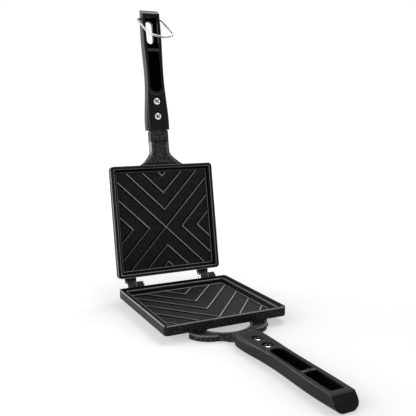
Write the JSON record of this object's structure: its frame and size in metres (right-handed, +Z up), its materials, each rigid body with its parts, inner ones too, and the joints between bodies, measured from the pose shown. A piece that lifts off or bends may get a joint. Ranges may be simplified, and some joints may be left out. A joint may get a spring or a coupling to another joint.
{
  "type": "pie iron",
  "caption": "Hinged stovetop pie iron: square ribbed cast grill plates that close face to face, long moulded handles and a swinging wire bail that locks the handle tips together.",
  "frame": {"origin": "centre of the lower plate's underside, on the face of the ribs it stands on", "axes": "+Z up, +Y from the lower handle's tip towards the hinge, +X to the right seen from the handle's tip"},
  "size_m": [0.137, 0.3992, 0.3353],
  "materials": {
    "cast_nonstick": "sand-cast texture under a satin black non-stick coating",
    "bakelite": "moulded black phenolic, fine satin grain",
    "bright_zinc": "bright zinc plate",
    "bright_wire": "bright drawn wire"
  },
  "bodies": {
    "lower": {"lower_plate": "cast_nonstick", "lower_handle": "bakelite", "lower_handle_screw_rear": "bright_zinc", "lower_handle_screw_front": "bright_zinc", "hinge_rivet_left": "bright_zinc", "hinge_rivet_right": "bright_zinc"},
    "upper": {"upper_plate": "cast_nonstick", "upper_handle": "bakelite", "upper_handle_screw_rear": "bright_zinc", "upper_handle_screw_front": "bright_zinc"},
    "bail": {"locking_bail": "bright_wire"}
  },
  "joints": [
    {"name": "lid_hinge", "type": "hinge", "parent": "lower", "child": "upper", "pos_m": [0, 0.0751, 0.0148], "axis": [1, 0, 0], "range_deg": [0, 100]},
    {"name": "bail_pivot", "type": "hinge", "parent": "upper", "child": "bail", "pos_m": [0, 0.13692, 0.32396], "axis": [1, 0, 0], "range_deg": [-218, 22]}
  ]
}
